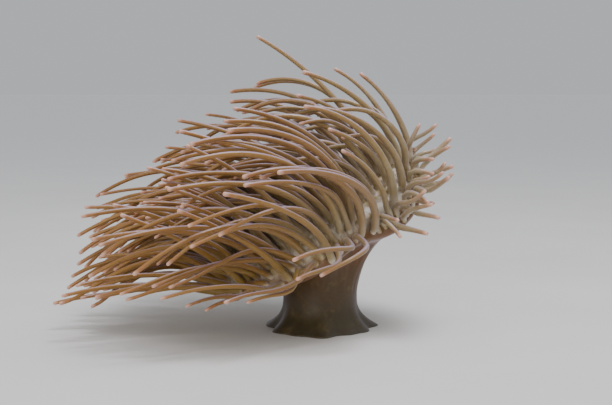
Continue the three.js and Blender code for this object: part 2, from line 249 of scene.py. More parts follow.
def flank(phi, w):
    """The crown's side, from the waist (w = 0) to the disc's rim (w = 1)."""
    radial = along(np.cos(phi), ACROSS) + along(np.sin(phi), BACKWARD)
    low = np.stack([WAIST_R * np.cos(phi), WAIST_R * np.sin(phi), np.full_like(phi, WAIST_Z)], -1)
    high = disc(np.ones_like(phi), phi)
    rising = low + np.array([0, 0, FLANK_RISING])
    arriving = high - FLANK_ARRIVING * radial
    w = w[..., None]
    v = 1 - w
    return v ** 3 * low + 3 * v * v * w * rising + 3 * v * w * w * arriving + w ** 3 * high


def column_radius(z):
    return WAIST_R + (FOOT_R - WAIST_R) * np.maximum(0, 1 - z / FLARE_TOP) ** FLARE


def column_point(r, angle, z):
    fade = np.maximum(0, 1 - z / WAIST_Z) ** 2
    scale = r * (1 + fade * waves(angle, FOOT_WAVES))
    return np.stack([scale * np.cos(angle), scale * np.sin(angle), z + 0 * angle], -1)


# ---- where the tentacles are rooted, and how the current carries them
def rnd(seed):
    """A number from 0 to 1 that is always the same for a seed."""
    x = math.sin(seed * 12.9898 + 4.1414) * 43758.5453
    return x - math.floor(x)


def radius_at(t):
    return TIP_R + (BASE_R - TIP_R) * (1 - t) ** 1.5


LEADER_ROOTS = [disc(leader["rho"], leader["phi"]) for leader in LEADERS]


def is_missing(ring, s, rho, phi, chance):
    """The edge ring is full only to the right, the crease is sparse, and the leaders stand free."""
    between = ring == EDGE_RING and s % 2 == 1 and math.cos(phi) < 0.6
    bare = ring in BARE_RINGS and chance < BARE_SHARE * crease(phi)
    root = disc(rho, phi)
    crowded = any(np.linalg.norm(root - leader) < LEADER_ROOM for leader in LEADER_ROOTS)
    return between or bare or crowded


def main_roots():
    found = [dict(leader, seed=LEADER_SEED + n) for n, leader in enumerate(LEADERS)]
    seed = 1
    for ring, count in RINGS:
        turn = 2 * math.pi / count
        for s in range(count):
            phi = turn * (s + 0.5 + STRAY_ROUND * (rnd(seed + 0.11) - 0.5))
            rho = ring + STRAY_OUT * (rnd(seed + 0.23) - 0.5)
            seed += 1
            if not is_missing(ring, s, rho, phi, rnd(seed + 0.5)):
                found.append({"rho": rho, "phi": phi, "seed": seed})
    return found


def on_short_side(rho, phi):
    """1 on the margin that faces the current, where the tentacles are short."""
    front_edge = 0.36 * max(0, -rho * math.sin(phi)) * smoothstep(rho, 0.9, 0.96)
    return float(smoothstep(rho * math.cos(phi) + front_edge, 0.84, 0.93))


def flow_at(p, q, r1, r2, raised, root):
    """Where the current carries a tentacle: to the left, fanning out, and steeper on the right."""
    freedom = root.get("freedom", 1)
    natural = MIDDLE_LIFT + LIFT_SLOPE * q + LIFT_BEND * q * q
    natural += LIFT_VARIETY * freedom * min(r1, root.get("limit", 1))
    lift = math.radians(root.get("lift", lerp(natural, RAISED_LIFT + RAISED_VARIETY * r1, raised)))
    bearing = math.radians(FAN * p + FAN_VARIETY * freedom * r2)
    level = math.cos(lift)
    return np.array([-level * math.cos(bearing), -level * math.sin(bearing), math.sin(lift)])


def start_at(rho, q, raised, short, root):
    """How a tentacle leaves the disc: square to it, a little ahead and upward, or down over the rim."""
    hang = root.get("hang", 0)
    ahead = root.get("ahead", -0.25 + 0.35 * float(smoothstep(q, 0, 0.8)))
    rising = lerp(0.15 + 0.45 * float(smoothstep(-q, 0.2, 0.8)), -0.6, hang) + 0.7 * raised
    low_edge = 0.8 * smoothstep(rho, 0.9, 0.96) * smoothstep(-q, -0.3, 0.2)
    steady = 0.7 * float(smoothstep(rho, 0.6, 0.8) * (1 - low_edge)) * (1 - hang)
    leaning = np.array([ahead, 0, rising]) + steady * UPRIGHT
    return unit(disc_normal(rho, root["phi"]) + leaning * (1 - short))


def length_at(rho, q, r3, raised, short, root):
    """The ones in the middle, at both sides and against the current are shorter."""
    inner = 0.84 + 0.16 * smoothstep(rho, 0.4, 0.75)
    outer = 1 - 0.16 * smoothstep(-q, 0.3, 0.95) - 0.3 * smoothstep(q, 0.6, 0.84)
    natural = TENTACLE_LENGTH * (1 + LENGTH_VARIETY * min(r3, root.get("limit", 1))) * inner * outer
    natural *= 1 - SHORT_SIDE_CUT * short
    natural *= 1 - 0.2 * raised
    return root.get("length", natural) * root.get("share", 1)


def centre_line(root):
    """Leaves the disc square to it and bends with the current, or curls outward on the short side."""
    rho, seed = root["rho"], root["seed"]
    q = rho * math.cos(root["phi"])
    p = rho * math.sin(root["phi"])
    r1, r2, r3, r4 = [2 * rnd(seed + 0.37 * i) - 1 for i in range(4)]
    short = 0 if "lift" in root else on_short_side(rho, root["phi"])
    freedom = root.get("freedom", 1)
    if freedom > 1:
        short = int(short > SHORT_SIDE_FROM)
    raised = (1 - root.get("hang", 0)) * float(smoothstep(-p, 0.2, 0.6) * smoothstep(-q, -0.25, 0.05))
    raised *= float(smoothstep(rnd(seed + 6.1), RAISED_SHARE, RAISED_SHARE - 0.15))
    flow = flow_at(p, q, r1, r2, raised, root)
    length = length_at(rho, q, r3, raised, short, root)
    r1, r2, r4 = (lerp(r, freedom * r, 0.6 * short) for r in (r1, r2, r4))
    curl = unit(np.array([0.75 + 0.25 * r1, 0.7 * p + 0.25 * r2, 0.5 + 0.9 * p + 0.4 * r4]))
    start = start_at(rho, q, raised, short, root)
    end = unit(lerp(flow, curl, short))
    droop = 0.58 + 0.42 * max(r4, -root.get("limit", 1)) + 0.3 * float(smoothstep(q, 0.1, 0.6))
    droop *= 0.65 + 0.35 * float(smoothstep(q, -0.9, -0.2))
    droop = root.get("droop", droop * (1 - short) * (1 - 0.7 * raised))
    side = unit(np.array([-end[1], end[0], 0]))
    sway, hook = root.get("sway", 0), root.get("hook", 0)
    line = [disc(rho, root["phi"])]
    for k in range(1, SAMPLES):
        t = (k - 0.5) / (SAMPLES - 1)
        heading = lerp(start, end, 1 - (1 - t) ** 1.9)
        heading[2] -= droop * t ** 1.7
        heading += sway * math.sin(2 * math.pi * t + 3 * r3) * side
        heading[2] += 0.5 * sway * math.sin(5 * t + 3 * r4)
        heading[2] += hook * float(smoothstep(t, 0.5, 1.0))
        line.append(line[-1] + unit(heading) * length / (SAMPLES - 1))
    root["short"] = short
    root["length"] = length
    return np.array(line)


def centre_lines(roots):
    return np.array([centre_line(root) for root in roots])


def relax(lines, standing, clearance, passes, higher=0):
    """Pushes neighbours apart, off the disc and off the ground, and keeps their roots and lengths."""
    count = len(lines)
    steps = np.linalg.norm(lines[:, 1] - lines[:, 0], axis=1)
    own_radii = np.tile(radius_at(SHARES), count)
    radii = np.concatenate([own_radii, np.tile(radius_at(SHARES), len(standing))])
    owner = np.repeat(np.arange(count + len(standing)), SAMPLES - 1)
    still = standing[:, 1:].reshape(-1, 3)
    floors = ((9 + 2 * higher) * np.array([rnd(n) for n in range(count)]) + higher)[:, None]
    reach = 2 * BASE_R + clearance
    for _ in range(passes):
        own = lines[:, 1:].reshape(-1, 3)
        every = np.concatenate([own, still])
        push = np.zeros_like(own)
        i, j = near_pairs(own, every, reach)
        apart = owner[i] != owner[j]
        i, j = i[apart], j[apart]
        away = own[i] - every[j]
        distance = np.linalg.norm(away, axis=1)
        overlap = radii[i] + radii[j] + clearance - distance
        hit = overlap > 0
        shove = away[hit] * (0.4 * overlap[hit] / distance[hit])[:, None]
        np.add.at(push, i[hit], shove)
        lines = settle(lines, push.reshape(count, SAMPLES - 1, 3), steps, own_radii[:SAMPLES - 1], floors)
    return lines


def near_pairs(own, every, reach):
    """The pairs of points that are nearer than reach."""
    a = own.astype(np.float32)
    b = every.astype(np.float32)
    square = (a * a).sum(1)[:, None] + (b * b).sum(1)[None] - 2 * a @ b.T
    return np.nonzero(square < (reach + 0.1) ** 2)


def settle(lines, push, steps, radii, floors):
    """Moves the lines by the push, smoothed along each, and keeps them off the disc and the ground."""
    push = np.concatenate([np.zeros((len(lines), 1, 3)), push], 1)
    for _ in range(3):
        ahead = np.concatenate([push[:, 2:], push[:, -1:]], 1)
        push[:, 1:] = (push[:, :-1] + ahead + 2 * push[:, 1:]) / 4
    moved = lines + push
    free = lift_off_disc(moved[:, 1:], radii)
    arch = 4 * ARCH * SHARES * (1 - SHARES)
    lowest = np.maximum(GROUND_ROOM, MIDDLE_ROOM - ROOM_SLOPE * free[..., 1]) + floors + arch
    free[..., 2] = np.maximum(free[..., 2], lerp(free[..., 2], lowest, 0.5))
    settled = [lines[:, 0]]
    for k in range(SAMPLES - 1):
        settled.append(settled[-1] + unit(free[:, k] - settled[-1]) * steps[:, None])
    return np.stack(settled, 1)


def lift_off_disc(points, radii):
    """Lifts points that have sunk a little into the disc."""
    local = points - DISC_CENTRE
    x = local @ ACROSS
    y = local @ BACKWARD / DISC_DEPTH
    phi = np.arctan2(y, x)
    rho = np.hypot(x, y) / (0.96 * rim(phi))
    wanted = disc_height(rho, phi) + radii + CLEARANCE * smoothstep(SHARES, 0, 0.15)
    lack = wanted - local @ UPRIGHT
    lifted = np.where((rho <= 1) & (lack > 0) & (lack < 12), 0.5 * lack, 0)
    return points + lifted[..., None] * UPRIGHT


def eased(lines, rounds):
    """Rounds off the elbows of the lines, and keeps their roots and lengths."""
    steps = np.linalg.norm(lines[:, 1:2] - lines[:, :1], axis=2, keepdims=True)
    bent = lines.copy()
    for _ in range(rounds):
        bent[:, 1:-1] += 0.25 * (bent[:, :-2] - 2 * bent[:, 1:-1] + bent[:, 2:])
    onward = steps * unit(np.diff(bent, axis=1))
    return np.concatenate([lines[:, :1], lines[:, :1] + np.cumsum(onward, 1)], 1)


def on_curve(line, u):
    """Place and heading at a number of steps along a centre line."""
    k = min(int(u), SAMPLES - 2)
    s = u - k
    before = line[k - 1] if k else 2 * line[0] - line[1]
    after = line[k + 2] if k + 2 < SAMPLES else 2 * line[-1] - line[-2]
    a, b = line[k], line[k + 1]
    bend = 2 * before - 5 * a + 4 * b - after
    turn = 3 * (a - b) + after - before
    place = a + 0.5 * s * (b - before + s * (bend + s * turn))
    return place, unit(0.5 * (b - before) + s * (bend + 1.5 * s * turn))


def trimmed(lines, roots, low, high):
    """Ends each line where it would leave the box from low to high."""
    kept = []
    for root, line in zip(roots, lines):
        outside = ((line < low) | (line > high)).any(1)
        last = int(np.argmax(outside)) - 1 if outside.any() else SAMPLES - 1
        share = last / (SAMPLES - 1)
        root["length"] *= share
        if root["length"] > SHORTEST:
            kept.append((root, np.array([on_curve(line, share * k)[0] for k in range(SAMPLES)])))
    return [root for root, _ in kept], np.array([line for _, line in kept])


# ---- the plan of the disc: flat, with arc lengths along its meridians kept
RHO_TABLE = np.linspace(0, 1, 401)
REACH_TABLE = DISC_R * (RHO_TABLE - DRAWN_IN * RHO_TABLE ** 5)
HEIGHT_TABLE = BOWL * RHO_TABLE ** 2 - ROLL * RHO_TABLE ** 7
ARC_TABLE = np.concatenate([[0], np.cumsum(np.hypot(np.diff(REACH_TABLE), np.diff(HEIGHT_TABLE)))])
RIM_ARC = ARC_TABLE[-1]


def to_plan(rho, phi):
    arc = np.interp(rho, RHO_TABLE, ARC_TABLE)
    return np.stack([arc * np.cos(phi), DISC_DEPTH * arc * np.sin(phi)], -1)


def from_plan(plan):
    x = plan[..., 0]
    y = plan[..., 1] / DISC_DEPTH
    return np.interp(np.hypot(x, y), ARC_TABLE, RHO_TABLE), np.arctan2(y, x)


def is_thinned(rho, phi, seed):
    """Fewer at the back of the crest, on its pale skin, down-current and in the crease."""
    at_back = smoothstep(math.cos(phi - 1), 0.2, 0.8)
    back = at_back * smoothstep(rho, 0.5, 0.6) * smoothstep(rho, 0.95, 0.9)
    pale = crest_at(rho, phi) > 0.4
    low = 0.6 * smoothstep(-rho * math.cos(phi), 0.1, 0.4) * smoothstep(rho, 0.92, 0.88)
    creased = BARE_SHARE * crease(phi) * smoothstep(rho, 0.6, 0.7) * smoothstep(rho, 0.93, 0.91)
    return rnd(seed + 0.9) < THINNED * max(back, pale, low) or rnd(seed + 0.7) < creased


def fine_habit(rho, phi, seed):
    """How a finer tentacle differs from the main ones around it."""
    habit = {"girth": FINE_R, "limit": FINE_LIMIT, "hook": 0}
    if on_short_side(rho, phi) > SHORT_SIDE_FROM:
        habit.update({"share": 0.55 + 0.65 * rnd(seed), "hook": HOOK * max(0, rnd(seed + 0.3) - 0.35)})
        habit.update({"freedom": SHORT_SIDE_FREEDOM, "sway": SHORT_SIDE_SWAY})
    else:
        high = 0.25 * smoothstep(rho * math.cos(phi), 0.5, 0.8)
        habit.update({"share": FINE_LENGTH - high + 0.08 * rnd(seed), "freedom": FREEDOM, "sway": SWAY})
    fewer = 0.5 * rnd(seed + 0.6) * smoothstep(-rho * math.cos(phi), 0.2, 0.5)
    if rho > 0.93 and about(phi, FRINGE_AT, FRINGE_WIDTH) > 0.4 + fewer:
        habit.update({"hang": 1, "share": 0.4 + 0.35 * rnd(seed)})
    return habit


def fine_roots(mains):
    """Evenly spread places between the main roots, where there is room for one more."""
    found = []
    taken = [disc(root["rho"], root["phi"]) for root in mains]
    for n in range(FINE_CANDIDATES):
        phi = n * GOLDEN_ANGLE % (2 * math.pi)
        arc = RIM_ARC * math.sqrt((n + 0.5) / FINE_CANDIDATES)
        rho = float(np.interp(arc, ARC_TABLE, RHO_TABLE))
        seed = FINE_SEED + n
        place = disc(rho, phi)
        near = min(np.linalg.norm(place - other) for other in taken)
        room = lerp(FINE_ROOM, EDGE_ROOM, smoothstep(rho, 0.86, 0.93)) - 0.9 * on_short_side(rho, phi)
        if BARE_CENTRE < rho < BARE_RIM and near > room and not is_thinned(rho, phi, seed):
            found.append({"rho": rho, "phi": phi, "seed": seed, **fine_habit(rho, phi, seed)})
            taken.append(place)
    return found


# ---- the layout of all tentacles
mains = main_roots()
main_lines = relax(centre_lines(mains), np.zeros((0, SAMPLES, 3)), CLEARANCE, PASSES)
reach = main_lines.reshape(-1, 3)
fines = fine_roots(mains)
hanging = np.array([root.get("hang", 0) for root in fines])
higher = FINE_FLOOR * (1 - hanging)
fine_lines = relax(centre_lines(fines), main_lines, FINE_CLEARANCE, FINE_PASSES, higher)
main_lines = eased(main_lines, EASING)
fringe = eased(fine_lines, FRINGE_EASING)
hangs = hanging[:, None, None]
for _ in range(ROUNDS):
    pushed = relax(eased(fine_lines, EASING), main_lines, ROUND_CLEARANCE, ROUND_PASSES, higher)
    fine_lines = lerp(pushed, fringe, hangs)
fine_lines = lerp(eased(fine_lines, LAST_EASING), fringe, hangs)
fines, fine_lines = trimmed(fine_lines, fines, reach.min(0), reach.max(0))
roots = mains + fines
lines = np.concatenate([main_lines, fine_lines])


# ---- the skin, gathered piece by piece
points = []                      # in millimetres
marks = []                       # what the finish needs to know at each point
faces = []
unwrap = []                      # the place of each face's corners on the unwrap
MARKS = ["stalk_mm", "tip_mm", "tone", "short", "rise", "crest", "rho", "plan_x", "plan_y"]


def add_points(new, new_marks):
    """Adds points to the skin, and gives the number of the first."""
    first = len(points)
    points.extend(new)
    marks.extend(new_marks)
    return first


def disc_marks(rhos, phis, plans):
    crests = crest_at(rhos, phis)
    return [(0, NO_TIP, 0.5, 0, 1, c, rho, x, y) for c, rho, (x, y) in zip(crests, rhos, plans)]


def side_marks(rise, count):
    return [(0, NO_TIP, 0.5, 0, rise, 0, 1, 0, 0)] * count


def add_face(corners, places):
    faces.append(tuple(int(c) for c in corners))
    unwrap.extend(places)


def disc_relief(rho, phi):
    """Lips round the slit of the mouth, in millimetres above the disc."""
    slit = rho / (1 + 0.5 * np.cos(2 * phi))
    lips = np.exp(-(((rho - MOUTH_R) / LIP_WIDTH) ** 2)) * (LIP_HEIGHT + 0.4 * np.sin(14 * phi))
    return lips - MOUTH_DEPTH * (1 - smoothstep(slit, 0.02, 0.07))


def disc_skin(plan):
    rho, phi = from_plan(plan)
    return disc(rho, phi) + along(disc_relief(rho, phi), UPRIGHT)


def base_frame(root):
    """A root's place on the plan, a direction in the skin there, and how the skin maps to the plan."""
    plan = to_plan(root["rho"], root["phi"])
    normal = disc_normal(root["rho"], root["phi"])
    first = unit(np.cross(BACKWARD, normal))
    second = np.cross(normal, first)
    h = 0.05
    dx = (disc_skin(plan + [h, 0]) - disc_skin(plan - [h, 0])) / (2 * h)
    dy = (disc_skin(plan + [0, h]) - disc_skin(plan - [0, h])) / (2 * h)
    to_skin = np.array([[dx @ first, dy @ first], [dx @ second, dy @ second]])
    return plan, first, np.linalg.inv(to_skin)


def lattice(spacing, reach_x, reach_y):
    """Evenly spread flat points, in rows that make equal triangles."""
    rows = []
    apart = 0.866 * spacing
    for n in range(int(-reach_y / apart) - 1, int(reach_y / apart) + 2):
        xs = np.arange(-reach_x, reach_x + spacing, spacing) + (0.5 * spacing if n % 2 else 0)
        rows.append(np.stack([xs, np.full_like(xs, apart * n)], -1))
    return np.concatenate(rows)


def spread(plans, loops):
    """Triangles over flat points, none of them inside a loop."""
    edges = [(a, b) for loop in loops for a, b in zip(loop, np.roll(loop, -1))]
    edges = [(int(a), int(b)) for a, b in edges]
    made = delaunay_2d_cdt([Vector(p) for p in plans.tolist()], edges, [], 0, 1e-6)
    source = [ids[0] for ids in made[3]]
    inside = {}
    for n, loop in enumerate(loops[1:]):
        inside.update({int(point): n for point in loop})
    kept = []
    for face in made[2]:
        corners = [source[c] for c in face]
        homes = {inside.get(c, -1 - c) for c in corners}
        if len(homes) > 1:
            kept.append(corners)
    return kept


def add_disc(roots):
    """The disc's skin with a round gap for each tentacle. Gives each root its ring of points."""
    rooted = np.array([disc(root["rho"], root["phi"]) for root in roots])
    plans = [to_plan(np.ones(RIM_POINTS), RIM_TURNS)]
    loops = [np.arange(RIM_POINTS)]
    outer = []
    count = RIM_POINTS
    for n, root in enumerate(roots):
        plan, first, to_flat = base_frame(root)
        gaps = np.linalg.norm(rooted - rooted[n], axis=1)
        nearest = np.sort(gaps)[1]
        to_rim = (RIM_ARC - np.linalg.norm(plan / [1, DISC_DEPTH])) * rim(root["phi"]) / DISC_R
        radius = min(SWELL * root.get("girth", 1), 0.42 * nearest, 0.7 * to_rim)
        outside = min(radius + 1.1, 0.49 * nearest, 0.88 * to_rim)
        root.update(first=first, base=radius, outside=outside)
        plans.append(plan + radius * (to_flat @ CIRCLE).T)
        loops.append(np.arange(count, count + SIDES))
        count += SIDES
        outer.append(plan + outside * (to_flat @ CIRCLE).T)
    field = lattice(LATTICE, RIM_ARC, RIM_ARC * DISC_DEPTH)
    field = field[np.linalg.norm(field / [1, DISC_DEPTH], axis=1) < RIM_ARC - 0.7 * LATTICE]
    on_skin = disc_skin(field)
    clear = np.ones(len(field), bool)
    for root, place in zip(roots, rooted):
        clear &= np.linalg.norm(on_skin - place, axis=1) > root["outside"] + 0.45 * LATTICE
    plans = np.concatenate(plans + outer + [field[clear]])
    rhos, phis = from_plan(plans)
    first_point = add_points(disc_skin(plans), disc_marks(rhos, phis, plans))
    places = DISC_PATCH_AT + plans * DISC_PATCH / RIM_ARC
    for corners in spread(plans, loops):
        add_face([first_point + c for c in corners], [places[c] for c in corners])
    for root, loop in zip(roots, loops[1:]):
        root["ring"] = first_point + loop
    return first_point + loops[0]


def tentacle_stations(length, tip_radius):
    """Distances along a tentacle with the width there, from just above its base to its rounded tip."""
    last = length - tip_radius
    rings = max(2, round((last - BASE_STATIONS[-1]) / RING_STEP) + 1)
    even = np.linspace(BASE_STATIONS[-1], last, rings)
    straight = [(s, 1) for s in BASE_STATIONS[:-1] + list(even)]
    rounded = [(last + tip_radius * math.sin(a), math.cos(a)) for a in TIP_STATIONS]
    return straight + rounded


def strip_place(strip, u, j):
    """A point of a tentacle's patch on the unwrap: along it, and round it in sides."""
    height = STRIPS_TOP / STRIP_ROWS
    left = strip % STRIPS_ACROSS / STRIPS_ACROSS + 2 * STRIP_MARGIN
    low = height * (strip // STRIPS_ACROSS) + STRIP_MARGIN
    return left + u, low + (height - 2 * STRIP_MARGIN) * j / SIDES


def add_tentacle(root, line, strip):
    """One tentacle, from its ring of points in the disc's skin."""
    girth = root.get("girth", 1)
    length = root["length"]
    q = root["rho"] * math.cos(root["phi"])
    own = [2 * rnd(root["seed"] + 5.3 + i) - 1 for i in range(3)]
    tone = 0.5 + 0.5 * own[0]
    across = root["first"]
    ripening = 1 + 2 * max(0, root["rho"] * math.cos(root["phi"] - 0.4)) ** 2
    inward = 0.85 * smoothstep(root["rho"], 0.9, 0.78)
    pale = float(max(smoothstep(q, -0.3, 0.4), inward))
    fuller = FULLER * float(smoothstep(q, -0.2, 0.4))
    below = root["ring"]
    below_u = 0

    def marks_at(s):
        return s / ripening, length - s, tone, root["short"], 1, pale, 0, 0, 0

    for s, narrowing in tentacle_stations(length, TIP_R * girth):
        t = s / length
        centre, heading = on_curve(line, t * (SAMPLES - 1))
        across = unit(across - (across @ heading) * heading)
        other = np.cross(heading, across)
        wave = 1 + 0.035 * math.sin(s / 7 + 3 * own[1]) + 0.03 * math.sin(s / 17 + 3 * own[2])
        radius = girth * radius_at(t) * wave * (1 + fuller * float(smoothstep(t, 0.1, 0.6)))
        radius += (root["base"] - girth * BASE_R) * math.exp(-s / SWELL_LENGTH)
        radius *= narrowing
        ring = centre + radius * (along(CIRCLE[0], across) + along(CIRCLE[1], other))
        above = add_points(ring, [marks_at(s)] * SIDES) + np.arange(SIDES)
        above_u = STRIP_LENGTH * t
        for j in range(SIDES):
            k = (j + 1) % SIDES
            corners = [below[j], below[k], above[k], above[j]]
            places = [(below_u, j), (below_u, j + 1), (above_u, j + 1), (above_u, j)]
            add_face(corners, [strip_place(strip, *place) for place in places])
        below, below_u = above, above_u
    tip = add_points([line[-1]], [marks_at(length)])
    for j in range(SIDES):
        places = [(below_u, j), (below_u, j + 1), (STRIP_LENGTH + STRIP_MARGIN, j + 0.5)]
        add_face([below[j], below[(j + 1) % SIDES], tip], [strip_place(strip, *place) for place in places])


def side_rows():
    """Rings down the flank, the column and the foot, each with how high it stands: 1 at the rim."""
    flutes = 0.5 * np.sin(24 * RIM_TURNS + 2 * np.sin(3 * RIM_TURNS)) + 0.3 * np.sin(41 * RIM_TURNS + 1)
    outward = np.stack([np.cos(RIM_TURNS), np.sin(RIM_TURNS), 0 * RIM_TURNS], -1)
    rows = []
    for w in 1 - np.linspace(0, 1, FLANK_ROWS)[1:] ** 1.15:
        depth = 0.16 * float(smoothstep(w, 0, 0.15) * (1 - smoothstep(w, 0.75, 1)))
        fluted = depth * outward * flutes[:, None]
        rows.append((flank(RIM_TURNS, np.full(RIM_POINTS, w)) + fluted, 0.4 + 0.6 * w))
    lower = [(z, 0) for z in np.linspace(WAIST_Z, 1.6, COLUMN_ROWS)[1:]]
    for z, drawn_in in lower + FOOT_EDGE:
        rows.append((column_point(column_radius(z) - drawn_in, RIM_TURNS, z), 0.4 * z / WAIST_Z))
    return rows


def add_side(rim_ring):
    """The flank, the column and the foot, down from the disc's rim, and the foot's flat underside."""
    rows = side_rows()
    above = rim_ring
    for n, (row, rise) in enumerate(rows):
        below = add_points(row, side_marks(rise, RIM_POINTS)) + np.arange(RIM_POINTS)
        high = SIDE_PATCH_TOP - SIDE_PATCH_HEIGHT * n / len(rows)
        deep = SIDE_PATCH_TOP - SIDE_PATCH_HEIGHT * (n + 1) / len(rows)
        for j in range(RIM_POINTS):
            k = (j + 1) % RIM_POINTS
            u = SIDE_PATCH_LEFT + SIDE_PATCH_WIDTH * j / RIM_POINTS
            v = SIDE_PATCH_LEFT + SIDE_PATCH_WIDTH * (j + 1) / RIM_POINTS
            places = [(u, high), (u, deep), (v, deep), (v, high)]
            add_face([above[j], below[j], below[k], above[k]], places)
        above = below
    add_underside(above)


def add_underside(ring):
    """The flat underside within the foot's lowest ring."""
    edge = np.array(points)[ring][:, :2]
    field = lattice(FOOT_LATTICE, FOOT_R, FOOT_R)
    bearings = [math.atan2(y, x) % (2 * math.pi) for x, y in field]
    reach = np.interp(bearings, RIM_TURNS, np.linalg.norm(edge, axis=1), period=2 * math.pi)
    field = field[np.linalg.norm(field, axis=1) < reach - 2.5]
    level = np.zeros((len(field), 1))
    first = add_points(np.concatenate([field, level], 1), side_marks(0, len(field)))
    flat = np.concatenate([edge, field])
    index = np.concatenate([ring, first + np.arange(len(field))])
    made = delaunay_2d_cdt([Vector(p) for p in flat.tolist()], [], [list(range(RIM_POINTS))], 1, 1e-6)
    for face in made[2]:
        corners = [made[3][c][0] for c in face][::-1]
        add_face(index[corners], [FOOT_PATCH_AT + FOOT_PATCH * flat[c] for c in corners])


rim_ring = add_disc(roots)
for strip, (root, line) in enumerate(zip(roots, lines)):
    add_tentacle(root, line, strip)
add_side(rim_ring)


# ---- one mesh, eased where its parts meet
def skin_mesh():
    mesh = bpy.data.meshes.new("anemone_skin")
    mesh.from_pydata([(MM * p).tolist() for p in np.array(points)], [], faces)
    mesh.polygons.foreach_set("use_smooth", [True] * len(faces))
    unwrapped = mesh.uv_layers.new(name="OFBake")
    unwrapped.data.foreach_set("uv", np.array(unwrap, np.float32).ravel())
    for name, values in zip(MARKS, np.array(marks, np.float32).T):
        mesh.attributes.new(name, "FLOAT", "POINT").data.foreach_set("value", values)
    return mesh


def ease(mesh, weight, rounds):
    """Draws each point towards the middle of its neighbours, by its weight, to round the joins."""
    edges = np.empty(2 * len(mesh.edges), np.int64)
    mesh.edges.foreach_get("vertices", edges)
    a, b = edges.reshape(-1, 2).T
    ends = np.concatenate([a, b])
    others = np.concatenate([b, a])
    place = np.array(points)
    count = np.bincount(ends, minlength=len(place))[:, None]
    for _ in range(rounds):
        total = np.stack([np.bincount(ends, place[others, axis], len(place)) for axis in range(3)], -1)
        place += weight[:, None] * (total / count - place)
    mesh.vertices.foreach_set("co", (MM * place).astype(np.float32).ravel())
    mesh.update()


def join_weights(roots, rim_ring):
    """How much each point is eased: most at the disc's rim and where the tentacles spring."""
    weight = np.zeros(len(points))
    told = np.array(marks)
    stalk, rise, rho = (told[:, MARKS.index(name)] for name in ("stalk_mm", "rise", "rho"))
    weight[(stalk > 0) & (stalk < BASE_STATIONS[0] + 0.1)] = 0.35
    for root in roots:
        weight[root["ring"]] = 0.45
    near_rim = (stalk == 0) & (rise == 1) & (rho > 0.93)
    weight[near_rim] = np.maximum(weight[near_rim], 0.5)
    weight[rim_ring] = 0.6
    weight[(rise < 1) & (rise > 0.88)] = 0.6
    return weight


skin = bpy.data.objects.new("anemone_skin", skin_mesh())
bpy.context.scene.collection.objects.link(skin)
ease(skin.data, join_weights(roots, rim_ring), JOIN_EASING)


# ---- finishes
def colour(code):
    """A shader's colour for a hexadecimal one."""
    parts = [int(code[i:i + 2], 16) / 255 for i in (1, 3, 5)]
    return tuple(((c + 0.055) / 1.055) ** 2.4 if c > 0.04045 else c / 12.92 for c in parts) + (1,)


class Finish:
    """A material, whose nodes are added one by one."""

    def __init__(self, name):
        self.material = bpy.data.materials.new(name)
        self.material.use_nodes = True
        self.tree = self.material.node_tree
        self.shader = self.tree.nodes["Principled BSDF"]

    def feed(self, socket, value):
        if isinstance(value, bpy.types.NodeSocket):
            self.tree.links.new(value, socket)
        else:
            socket.default_value = colour(value) if isinstance(value, str) else value

    def add(self, kind, inputs, out=0, **settings):
        made = self.tree.nodes.new(kind)
        for name, value in settings.items():
            setattr(made, name, value)
        for key, value in inputs.items():
            self.feed(made.inputs[key], value)
        return made.outputs[out]

    def set(self, **values):
        for name, value in values.items():
            self.feed(self.shader.inputs[name.replace("_", " ")], value)

    def mark(self, name):
        return self.add("ShaderNodeAttribute", {}, "Fac", attribute_name=name)

    def math(self, operation, a, b=0.0):
        return self.add("ShaderNodeMath", {0: a, 1: b}, operation=operation)

    def mix(self, share, a, b):
        return self.add("ShaderNodeMix", {0: share, 6: a, 7: b}, 2, data_type="RGBA")

    def span(self, value, low, high, start=0.0, end=1.0):
        inputs = {0: value, 1: low, 2: high, 3: start, 4: end}
        return self.add("ShaderNodeMapRange", inputs, interpolation_type="SMOOTHSTEP")

    def noise(self, place, scale, detail):
        inputs = {"Vector": place, "Scale": scale, "Detail": detail, "Roughness": 0.55}
        return self.add("ShaderNodeTexNoise", inputs)

    def ramp(self, value, stops):
        made = self.tree.nodes.new("ShaderNodeValToRGB")
        band = made.color_ramp
        while len(band.elements) < len(stops):
            band.elements.new(0.5)
        for element, (position, code) in zip(band.elements, stops):
            element.position = position
            element.color = colour(code)
        self.feed(made.inputs[0], value)
        return made.outputs[0]


TENTACLE_TAN = [(0.0, "#b2a580"), (0.08, "#9f9066"), (0.2, "#927839"), (0.5, "#8e6a28"), (1.0, "#956c2e")]
DEEP_TAN = "#7f511b"
GREY_TAN = "#a89d88"
PINKISH = "#b07856"
TIP_PINK = "#e2b6a4"
# painted highlight: lilac where light falls on the upper sides of the tentacles
PAINTED_LILAC_HIGHLIGHT = "#c2b9e0"
PAINTED_HIGHLIGHT_SIDE = (0.35, 0, 0.937)    # the painted lilac highlight is on the skin that faces this way, towards the light
DISC_DARK = "#9c8655"
DISC_LIGHT = "#bcaa80"
CREST_TAN = "#a8945f"
PALE_PATCH = "#d8d2c6"
DISC_LINE = "#7d5d30"
DISC_LINES = 66                  # lines from the mouth to the rim, per radian
RIM_BROWN = "#6f4b23"
COLUMN_BROWN = [
    (0.0, "#454130"), (0.12, "#433d24"), (0.35, "#4a3a1c"), (0.55, "#594019"), (0.85, "#6b4519"),
    (0.97, "#6c481e")]
COLUMN_STREAK = "#3f3119"
COLUMN_BLOTCH = "#8d7a4d"
RUST = "#8a4418"
SPECKLE = "#6f4a20"
LILAC_SHEEN = "#d9ccf2"
FLOOR_PALE = [(0.3, "#dcdcda"), (0.7, "#e4e4e1")]
FLOOR_FAR = "#d9dadc"


